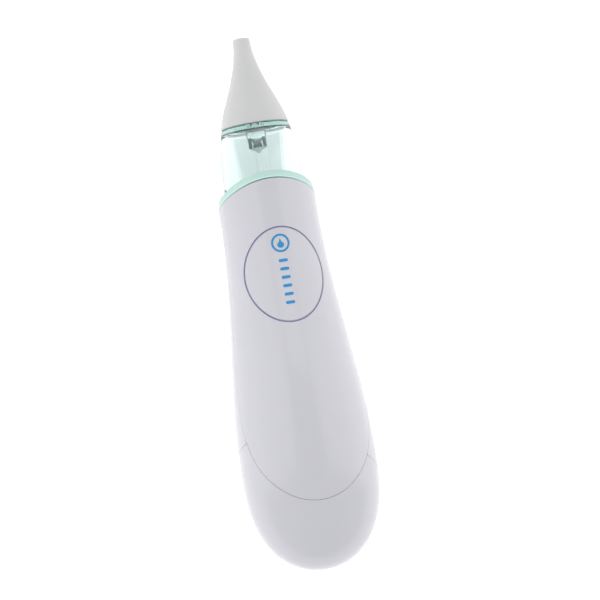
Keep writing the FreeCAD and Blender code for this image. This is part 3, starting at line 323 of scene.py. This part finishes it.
def uneven_gloss(nodes, links, shader, low, high, scale):
    """Roughness that varies a little, as handled plastic does."""
    place_node = nodes.new("ShaderNodeTexCoord")
    noise = nodes.new("ShaderNodeTexNoise")
    noise.inputs["Scale"].default_value = scale
    noise.inputs["Detail"].default_value = 5.0
    spread_node = nodes.new("ShaderNodeMapRange")
    spread_node.inputs["To Min"].default_value = low
    spread_node.inputs["To Max"].default_value = high
    links.new(place_node.outputs["Object"], noise.inputs["Vector"])
    links.new(noise.outputs["Fac"], spread_node.inputs["Value"])
    links.new(spread_node.outputs["Result"], shader.inputs["Roughness"])


def moulded(name, colour, rough, grain_scale=900.0, grain_strength=0.03, coat=0.0, vary=0.03):
    """Moulded plastic, rubber or paint: near-even colour, fine grain, uneven gloss."""
    material, nodes, links, shader = new_material(name)
    second = tuple(max(0.0, c * (1 - vary)) for c in colour)
    mottled(nodes, links, shader, colour, second, 35.0)
    uneven_gloss(nodes, links, shader, rough * 0.85, rough * 1.15, 60.0)
    grain(nodes, links, shader, grain_scale, grain_strength, 0.0002)
    shader.inputs["Coat Weight"].default_value = coat
    shader.inputs["Coat Roughness"].default_value = 0.08
    return material


def gloss_shell():
    material = moulded("gloss_white_shell", (0.565, 0.56, 0.60), 0.24, 1400.0, 0.012, 0.35, 0.012)
    shader = material.node_tree.nodes["Principled BSDF"]
    shader.inputs["Subsurface Weight"].default_value = 0.12
    shader.inputs["Subsurface Radius"].default_value = (0.004, 0.004, 0.005)
    shader.inputs["Subsurface Scale"].default_value = 0.6
    return material


def frosted_silicone():
    material = moulded("frosted_silicone", (0.735, 0.735, 0.73), 0.55, 2200.0, 0.10, 0.0, 0.03)
    shader = material.node_tree.nodes["Principled BSDF"]
    shader.inputs["Transmission Weight"].default_value = 0.22
    shader.inputs["Subsurface Weight"].default_value = 0.35
    shader.inputs["Subsurface Radius"].default_value = (0.004, 0.004, 0.004)
    shader.inputs["IOR"].default_value = 1.41
    shader.inputs["Sheen Weight"].default_value = 0.15
    return material


def clear_plastic(name, tint, density, rough):
    """Clear plastic whose tint deepens with the thickness that light crosses."""
    material, nodes, links, shader = new_material(name)
    shader.inputs["Base Color"].default_value = (0.97, 1.0, 0.995, 1)
    shader.inputs["Transmission Weight"].default_value = 1.0
    shader.inputs["IOR"].default_value = 1.47
    uneven_gloss(nodes, links, shader, rough * 0.7, rough * 1.3, 80.0)
    grain(nodes, links, shader, 300.0, 0.01, 0.0002)
    absorb = nodes.new("ShaderNodeVolumeAbsorption")
    absorb.inputs["Color"].default_value = (*tint, 1)
    absorb.inputs["Density"].default_value = density
    links.new(absorb.outputs["Volume"], nodes["Material Output"].inputs["Volume"])
    return material


def thin_clear(name, colour, cover):
    """Thin clear plastic: mostly see-through, with a faint tint and a glossy surface."""
    material = moulded(name, colour, 0.06, 300.0, 0.01, 0.0, 0.02)
    material.node_tree.nodes["Principled BSDF"].inputs["Alpha"].default_value = cover
    return material


def metal(name, colour, rough, streak):
    """Plated or drawn metal with fine streaks round it."""
    material, nodes, links, shader = new_material(name)
    mottled(nodes, links, shader, colour, tuple(c * 0.88 for c in colour), 120.0)
    shader.inputs["Metallic"].default_value = 1.0
    uneven_gloss(nodes, links, shader, rough * 0.7, rough * 1.4, streak)
    grain(nodes, links, shader, streak * 4, 0.05, 0.0001)
    return material


SHELL = gloss_shell()
BUTTON = gloss_shell()
BUTTON.name = "gloss_white_button"
MINT = moulded("satin_mint", (0.60, 0.86, 0.78), 0.32, 1200.0, 0.02, 0.2, 0.02)
SILICONE = frosted_silicone()
AQUA = clear_plastic("clear_aqua_dome", (0.42, 0.70, 0.66), 62.0, 0.03)
CUP = thin_clear("clear_aqua_cup", (0.48, 0.78, 0.76), 0.10)
SOFT_CLEAR = moulded("soft_clear", (0.80, 0.88, 0.86), 0.45, 1500.0, 0.05, 0.0, 0.04)
SOFT_CLEAR.node_tree.nodes["Principled BSDF"].inputs["Alpha"].default_value = 0.45
# Dark violet of the seal lip: painted shade of the gap round the button, laid on the real seal in
# that gap
VIOLET_SEAM_SHADE = moulded("violet_seal", (0.36, 0.35, 0.58), 0.5, 1500.0, 0.05, 0.0, 0.1)
PRINT = moulded("blue_print", (0.01, 0.25, 0.56), 0.4, 2500.0, 0.06, 0.0, 0.08)

SLOT_MATERIALS = {
    "white_inner": moulded("matt_white_inner", (0.78, 0.78, 0.80), 0.55),
    "pump_grey": moulded("dark_grey_pump", (0.06, 0.065, 0.075), 0.5),
    "black_rubber": moulded("black_rubber", (0.02, 0.02, 0.02), 0.7, 1500.0, 0.15),
    "steel": metal("plated_steel", (0.62, 0.63, 0.65), 0.3, 200.0),
    "bronze": metal("copper_alloy", (0.72, 0.45, 0.20), 0.35, 160.0),
    "magnet": moulded("ferrite", (0.03, 0.03, 0.035), 0.6, 700.0, 0.2),
    "board_green": moulded("board_green", (0.01, 0.16, 0.06), 0.35, 400.0, 0.05, 0.4, 0.2),
    "part_black": moulded("black_moulding", (0.02, 0.02, 0.022), 0.45),
    "cell_wrap": moulded("cell_wrap", (0.05, 0.07, 0.11), 0.25, 500.0, 0.02, 0.5, 0.1),
    "lead_insulation": moulded("lead_insulation", (0.45, 0.02, 0.02), 0.4),
    "soft_clear": SOFT_CLEAR,
    "clear_aqua": CUP,
    "frosted_silicone": SILICONE,
    "mint": MINT,
    "white_shell": SHELL,
    "violet_seal": VIOLET_SEAM_SHADE,
    "blue_print": PRINT,
}


def finish_frame_nodes():
    """Gives every node of the frame the finish of its slot."""
    for entry in frame["record"]["subparts"]:
        node = frame["nodes"][entry["node"]]
        material = SLOT_MATERIALS[entry["material_slot"]]
        node.data.materials.clear()
        node.data.materials.append(material)


# ===================================== handle pieces =========================================

def front_shell():
    count = 480
    hole = oval_border(0, count)
    centre = np.array([0.0, BUTTON_STATION])
    away = hole - centre
    away /= np.linalg.norm(away, axis=1)[:, None]
    border = march(hole, away, in_front_shell)
    rows = shell_rows(hole, border, WALL, EDGE_ROLL, 72, True)
    add_mesh("front_shell_skin", rows, "handle", SHELL, "front_shell", close_rows=True,
             slot="white_shell")


def rear_shell():
    count = 560
    centre = np.array([math.pi * UNROLL, 112.0])
    start = np.tile(centre, (count, 1))
    border = march(start, rays(count), in_rear_shell)
    rows = shell_rows(start, border, WALL, EDGE_ROLL, 72, False)
    add_mesh("rear_shell_skin", rows, "handle", SHELL, "rear_shell", slot="white_shell")


def battery_cap():
    """Rows from the bottom pole up to the cap's edge."""
    count = 480
    angle = np.linspace(0, 2 * math.pi, count, endpoint=False)
    pole = np.stack([angle * UNROLL, np.full(count, LENGTH - 0.01)], axis=1)
    up = np.tile([0.0, -1.0], (count, 1))
    border = march(pole, up, in_battery_cap, 60.0, 0.2)
    length = LENGTH - border[:, 1]
    rows = []

    def row(distance, depth):
        rows.append(place(*surface(angle, LENGTH - distance, depth)))

    for t in np.linspace(0, 1, 80):
        row((length - EDGE_ROLL) * t ** 2, 0.0)
    for away, depth in edge_profile(WALL, EDGE_ROLL):
        row(length - away, depth)
    for t in np.linspace(1, 0, 40):
        row(length * t ** 2, WALL)
    add_mesh("battery_cap_skin", rows, "cap", SHELL, "battery_cap", slot="white_shell")


def collar_ring():
    """A rounded band that follows the saddle-shaped top edge of the handle."""
    angle = np.linspace(0, 2 * math.pi, 360, endpoint=False)
    low = np.full(360, 55.0)
    for _ in range(40):
        _, _, rise = surface(angle, low)
        reach = np.sqrt(SADDLE_RADIUS ** 2 - (rise - SADDLE_RISE) ** 2)
        low = SADDLE_STATION + reach
    bore = DOME_RADIUS + SOCKET_GAP
    soft = 0.45
    rows = []
    outline = []
    for corner, start in (((soft, soft), 180), ((soft, COLLAR_THICKNESS - soft), 90),
                          ((None, COLLAR_THICKNESS - soft), 0), ((None, soft), -90)):
        for turn in np.radians(np.linspace(start, start - 90, 7)):
            outline.append((corner, math.cos(turn), math.sin(turn)))
    for (inward, up), across, along in outline:
        station = low - up - soft * along
        outer, _, rise = surface(angle, station)
        radius = np.hypot(outer, rise)
        if inward is None:
            wanted = bore + soft - soft * across
        else:
            wanted = radius - inward - soft * across
        shrink = wanted / radius
        rows.append(place(outer * shrink, station, rise * shrink))
    add_mesh("collar_ring_band", rows, "handle", MINT, "collar_ring", close_rows=True, slot="mint")


# ===================================== button ================================================

def power_button():
    count = 240
    border = oval_border(-BUTTON_GAP, count)
    centre = np.tile([0.0, BUTTON_STATION], (count, 1))
    rows = shell_rows(centre, border, WALL, 0.25, 48, False)
    add_mesh("power_button_cap", rows, "button", BUTTON, "power_button", slot="white_shell")


# The lip sits low in the gap round the button; its dark violet is painted shade of that seam
def button_seal():
    count = 240
    outer = oval_border(-SEAL_GAP, count)
    inner = oval_border(-BUTTON_GAP, count)
    rows = []
    for share, depth in ((0.0, 2.0), (0.0, 0.45), (0.2, 0.36), (0.5, 0.32), (0.8, 0.36),
                         (1.0, 0.45), (1.0, 2.0)):
        flat = inner + (outer - inner) * share
        rows.append(place(*surface(flat[:, 0] / UNROLL, flat[:, 1], depth)))
    add_mesh("button_seal_lip", rows, "button", VIOLET_SEAM_SHADE, "button_seal", close_rows=True,
             slot="violet_seal")


def print_patch(name, border, centre):
    """A thin printed shape that lies on the button."""
    flat_centre = np.tile(centre, (len(border), 1))
    rows = []
    for share, height in ((0.0, 0.05), (0.5, 0.05), (0.96, 0.05), (1.0, 0.02), (1.0, -0.03)):
        flat = flat_centre + (border - flat_centre) * share
        angle = np.arcsin(flat[:, 0] / half_width(flat[:, 1]))
        rows.append(place(*surface(angle, flat[:, 1], -height)))
    add_mesh(name, rows, "button", PRINT, slot="blue_print")


def button_print():
    """A ring with a droplet in it, over a column of short bars."""
    turn = rays(96)
    ring_rows = []
    inner = PRINT_RING - PRINT_STROKE
    for radius, height in ((PRINT_RING, -0.03), (PRINT_RING, 0.05),
                           (PRINT_RING - PRINT_STROKE / 2, 0.055), (inner, 0.05), (inner, -0.03)):
        station = PRINT_STATION + radius * turn[:, 1]
        angle = np.arcsin(radius * turn[:, 0] / half_width(station))
        ring_rows.append(place(*surface(angle, station, -height)))
    add_mesh("print_ring", ring_rows, "button", PRINT, "button_print", slot="blue_print")
    lift = np.clip(-turn[:, 1], 0, 1)
    drop = np.stack([DROP_RADIUS * turn[:, 0] * (1 - lift ** 1.5),
                     PRINT_STATION + 0.5 + DROP_RADIUS * turn[:, 1] - 1.15 * lift ** 3], axis=1)
    print_patch("print_drop", drop, (0.0, PRINT_STATION + 0.4))
    width, height = PRINT_BAR
    for k in range(PRINT_BARS):
        middle = PRINT_STATION + PRINT_RING + 2.4 + height / 2 + k * PRINT_BAR_PITCH
        corner = np.sign(turn) * np.abs(turn) ** 0.45
        bar = np.stack([corner[:, 0] * width / 2, middle + corner[:, 1] * height / 2], axis=1)
        print_patch("print_bar_%d" % (k + 1), bar, (0.0, middle))


# ===================================== turned pieces =========================================

def rounded_curve(points, steps):
    """A smooth curve through (radius, station) points."""
    points = np.array(points, float)
    padded = np.vstack([2 * points[0] - points[1], points, 2 * points[-1] - points[-2]])
    out = []
    for a, b, c, d in zip(padded, padded[1:], padded[2:], padded[3:]):
        for t in np.linspace(0, 1, steps, endpoint=False):
            out.append(0.5 * (2 * b + (c - a) * t + (2 * a - 5 * b + 4 * c - d) * t ** 2
                              + (3 * b - 3 * c + d - a) * t ** 3))
    out.append(points[-1])
    return [tuple(p) for p in out]


def turned(name, outline, body, material, *nodes, slot=None, around=144):
    """Turns a closed (radius, station) outline round the long axis."""
    angle = np.linspace(0, 2 * math.pi, around, endpoint=False)
    rows = []
    for radius, station in outline:
        rows.append(place(radius * np.sin(angle), np.full(around, station),
                          radius * np.cos(angle)))
    closed = outline[0][0] > 1e-6 and outline[-1][0] > 1e-6
    return add_mesh(name, rows, body, material, *nodes, close_rows=closed, slot=slot)


def fillet(centre, radius, start, end, steps=7):
    """Arc points round a centre, angles in degrees in the (radius, station) plane."""
    return [(centre[0] + radius * math.cos(a), centre[1] + radius * math.sin(a))
            for a in np.radians(np.linspace(start, end, steps))]


def nose_tip():
    """Concave trumpet with a rolled lip at its mouth and a square hem at its base."""
    bore, lip = 1.6, 0.75
    outside = rounded_curve([(3.1, 0.75), (3.5, 5.0), (4.6, 10.0), (6.35, 15.6), (8.6, 21.2),
                             (10.6, 26.2), (11.9, 30.4), (12.15, TIP_LENGTH - 0.3)], 8)
    inside = rounded_curve([(10.05, TIP_LENGTH), (10.05, 27.4), (9.2, 26.6), (7.25, 21.2),
                            (5.0, 15.6), (3.25, 10.0), (bore, 7.0), (bore, lip)], 6)
    mouth = fillet((bore + lip, lip), lip, 180, 360, 10)
    hem = [(12.0, TIP_LENGTH - 0.05), (11.8, TIP_LENGTH)]
    turned("nose_tip_soft", mouth + outside + hem + inside, "tip", SILICONE, "nose_tip",
           slot="frosted_silicone")


def chamber_dome():
    """Clear barrel with a neck for the tip and a drip tube under its ceiling."""
    top, end, wall = TIP_LENGTH + 0.2, 62.5, 1.7
    outside = (fillet((9.7, 27.6), 0.3, 270, 360, 5) + [(10.0, 31.6)]
               + fillet((10.4, top - 0.35), 0.35, 180, 90, 4)
               + [(11.6, top)] + fillet((11.7, top + 0.75), 0.75, 270, 340, 5)
               + rounded_curve([(12.6, 33.6), (13.35, 38.0), (14.0, 44.0), (14.4, 52.0)], 8)
               + [(14.4, end - 0.4), (14.0, end)])
    inner = ([(14.4 - wall, end), (14.4 - wall, 52.5)]
             + rounded_curve([(12.7, 52.0), (12.3, 44.0), (11.75, 38.6), (11.2, 35.2),
                              (10.3, 34.0), (9.0, 33.9)], 7)
             + [(4.6, 33.9)] + fillet((4.4, 34.7), 0.8, 270, 180, 5)
             + [(3.45, 39.4)] + fillet((2.95, 39.5), 0.5, 0, 90, 5)
             + [(2.2, 40.0), (2.2, 32.2), (8.8, 32.2), (8.8, 27.3)])
    turned("chamber_dome_clear", outside + inner, "chamber", AQUA, "chamber_dome",
           slot="clear_aqua")


def collection_cup():
    """Clear cup with a rolled rim and a rounded foot."""
    rim, foot, top, end, wall = 9.5, 7.6, 35.2, 59.2, 1.1
    roll = wall / 2
    outline = ([(0.0, end)] + fillet((foot - 0.9, end - 0.9), 0.9, 90, 0, 6)
               + [(rim - 0.1, top + 2.0)] + fillet((rim - roll, top + roll), roll, 0, -180, 10)
               + [(rim - wall - 0.1, top + 2.0)]
               + fillet((foot - wall - 1.2, end - wall - 1.2), 1.2, 0, 90, 6) + [(0.0, end - wall)])
    turned("collection_cup_clear", outline, "handle", CUP, "collection_cup", slot="clear_aqua")


def drip_valve():
    """Small soft nub that closes the drip tube."""
    outline = ([(0.0, 38.0), (2.2, 38.0), (2.2, 40.0)] + fillet((2.45, 40.25), 0.25, 270, 450, 5)
               + [(1.3, 40.8), (1.1, 41.2)] + fillet((0.0, 40.95), 0.95, 15, 90, 7))
    turned("drip_valve_soft", outline, "chamber", SOFT_CLEAR, "drip_valve", slot="soft_clear",
           around=64)


# ===================================== studio ================================================

def studio():
    """Pale floor that glows a little, even white surround, two soft strips and a lamp above."""
    mesh = bpy.data.meshes.new("floor")
    half = 3.0
    mesh.from_pydata([(-half, -half, 0), (half, -half, 0), (half, half, 0), (-half, half, 0)],
                     [], [(0, 1, 2, 3)])
    floor = bpy.data.objects.new("floor", mesh)
    bpy.context.scene.collection.objects.link(floor)
    white = moulded("floor_white", (0.93, 0.93, 0.93), 0.9, 40.0, 0.01, 0.0, 0.004)
    glow = white.node_tree.nodes["Principled BSDF"]
    glow.inputs["Emission Color"].default_value = (1, 1, 1, 1)
    glow.inputs["Emission Strength"].default_value = 0.45
    mesh.materials.append(white)
    world = bpy.data.worlds.new("surround")
    bpy.context.scene.world = world
    world.use_nodes = True
    background = world.node_tree.nodes["Background"]
    background.inputs["Color"].default_value = (0.98, 0.985, 1.0, 1)
    background.inputs["Strength"].default_value = 0.80
    for name, spot, size, power in (("strip_left", (-0.60, 0.05, 0.30), (0.55, 1.2), 1.5),
                                    ("strip_right", (0.60, 0.0, 0.34), (0.50, 1.1), 1.3),
                                    ("over_head", (0.05, 0.45, 1.1), (0.7, 0.5), 0.8)):
        light = bpy.data.lights.new(name, "AREA")
        light.shape = "RECTANGLE"
        light.size, light.size_y = size
        light.energy = power
        lamp = bpy.data.objects.new(name, light)
        lamp.location = spot
        aim = Vector((0, 0, 0.02)) - Vector(spot)
        lamp.rotation_euler = aim.to_track_quat("-Z", "Y").to_euler()
        bpy.context.scene.collection.objects.link(lamp)


def camera():
    """Above the front face, a little to the left, with the tip leaning to the upper left."""
    roll = math.radians(9.2)
    distance = 0.93
    aim = Vector((0.0062, 0.0, AXIS_HEIGHT * MM))
    spot = Vector((-0.125, -0.054, distance))
    back = (spot - aim).normalized()
    up = Vector((math.sin(roll), math.cos(roll), 0))
    right = up.cross(back).normalized()
    up = back.cross(right)
    data = bpy.data.cameras.new("camera")
    data.sensor_width = 36
    data.lens = 36 * (spot - aim).length / 0.2142
    data.clip_start = 0.05
    lens = bpy.data.objects.new("camera", data)
    lens.matrix_world = Matrix((
        (right.x, up.x, back.x, spot.x), (right.y, up.y, back.y, spot.y),
        (right.z, up.z, back.z, spot.z), (0, 0, 0, 1)))
    bpy.context.scene.collection.objects.link(lens)
    bpy.context.scene.camera = lens
    bpy.context.scene.view_settings.view_transform = "Standard"


finish_frame_nodes()
front_shell()
rear_shell()
battery_cap()
collar_ring()
power_button()
button_seal()
button_print()
nose_tip()
chamber_dome()
collection_cup()
drip_valve()
studio()
camera()
